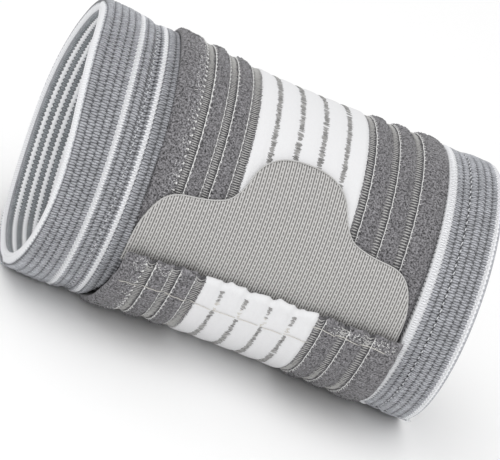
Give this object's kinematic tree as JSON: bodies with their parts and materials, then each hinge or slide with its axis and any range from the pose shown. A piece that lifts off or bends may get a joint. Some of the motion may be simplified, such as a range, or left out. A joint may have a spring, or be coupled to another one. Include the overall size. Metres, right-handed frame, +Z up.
{
  "type": "wrist wrap",
  "caption": "Elastic wrist wrap: knitted sleeve open at both ends, with a terry strap wound round it and a bell-shaped hook tab.",
  "frame": {"origin": "middle of the bounding box's base, on the surface that the wrap rests on", "axes": "+X along the sleeve towards the narrower end, +Z up, the strap's end and the tab on the -Y side"},
  "size_m": [0.094, 0.0602, 0.0572],
  "materials": {
    "knit": "matt elastic knit, cool grey with white stripes",
    "lining": "matt elastic knit, white and grey stripes",
    "terry": "short looped terry, heather grey and white",
    "tab": "fine ribbed woven, warm light grey"
  },
  "bodies": {
    "root": {"sleeve": "knit", "cuff_lining_left": "lining", "cuff_lining_right": "lining", "strap": "terry", "hook_tab": "tab"}
  },
  "joints": []
}
